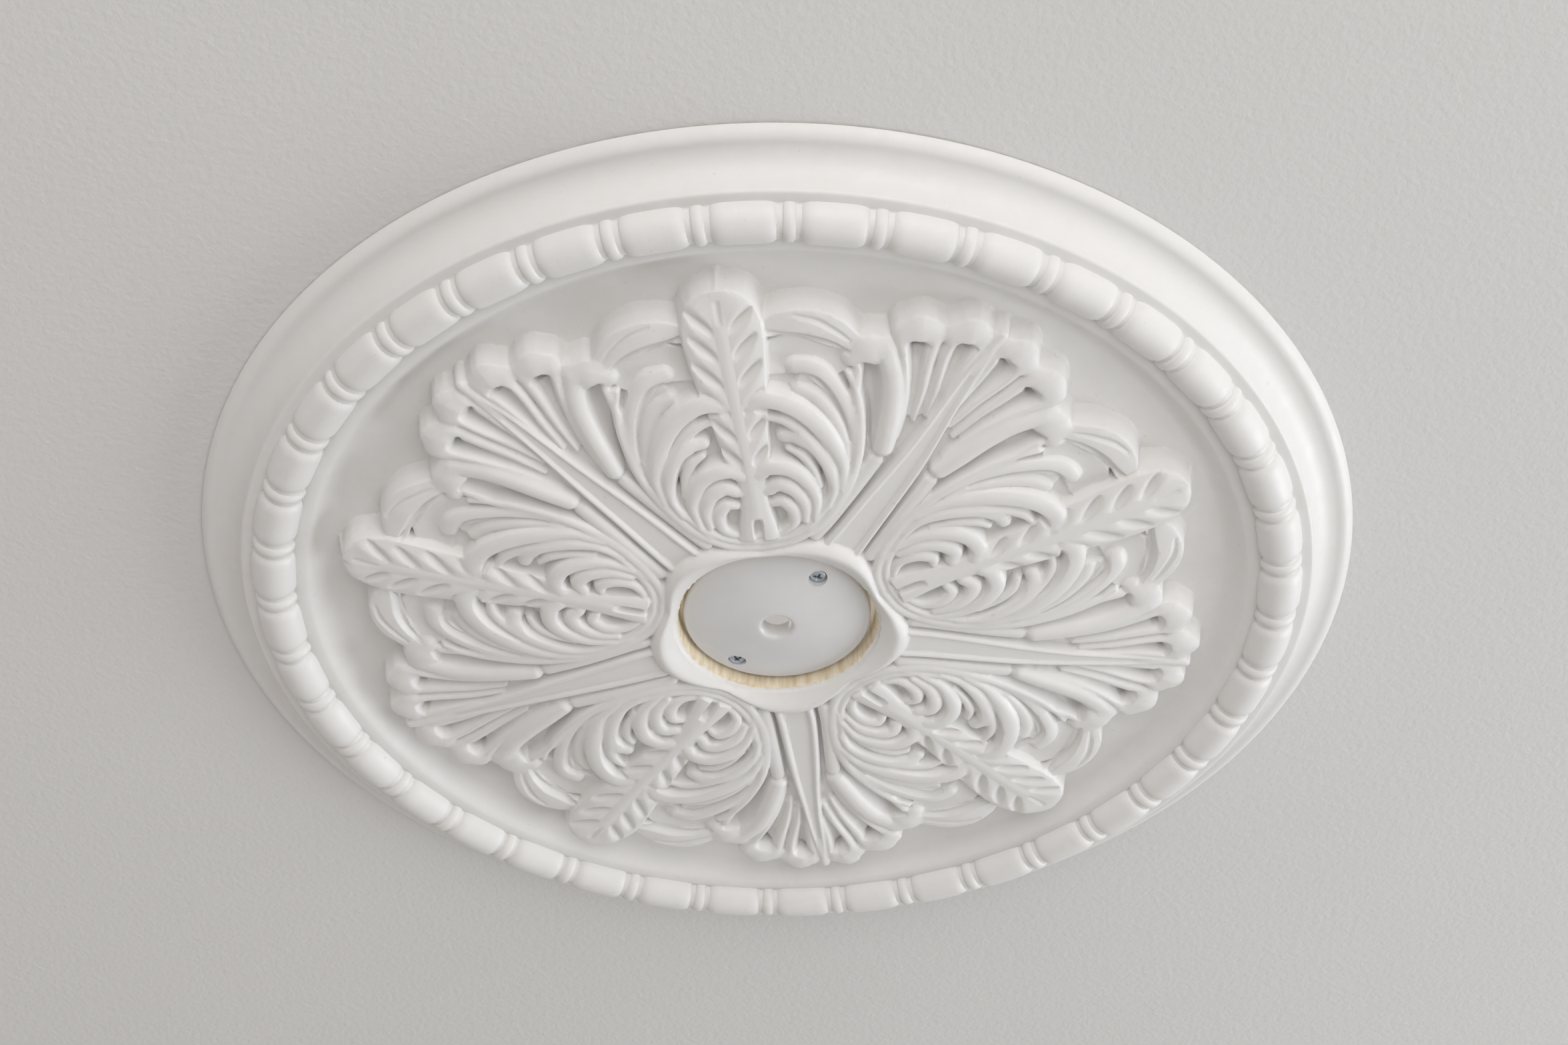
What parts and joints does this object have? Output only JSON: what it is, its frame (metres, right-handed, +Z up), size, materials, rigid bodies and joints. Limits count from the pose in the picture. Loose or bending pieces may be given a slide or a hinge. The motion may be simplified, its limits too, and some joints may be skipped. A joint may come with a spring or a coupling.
{
  "type": "ceiling rose",
  "caption": "Round moulded ceiling rose with a bead-and-reel rim, leaf and feather carving, a lobed collar and a domed cover plate with a cable hole.",
  "frame": {"origin": "centre of the rose's flat back, on the ceiling plane", "axes": "+Z up into the ceiling, the ornament hangs down towards -Z; the feather axes lie at multiples of 72 degrees from -Y, turned by 8.4 degrees; +X to the right and -Y towards a viewer who looks up at it"},
  "size_m": [0.47, 0.47, 0.033],
  "materials": {
    "rose_paint": "satin",
    "plate_plastic": "gloss",
    "screw_zinc": "satin"
  },
  "bodies": {
    "root": {"rose": "rose_paint", "cover_plate": "plate_plastic", "plate_screw_1": "screw_zinc", "plate_screw_2": "screw_zinc"}
  },
  "joints": []
}
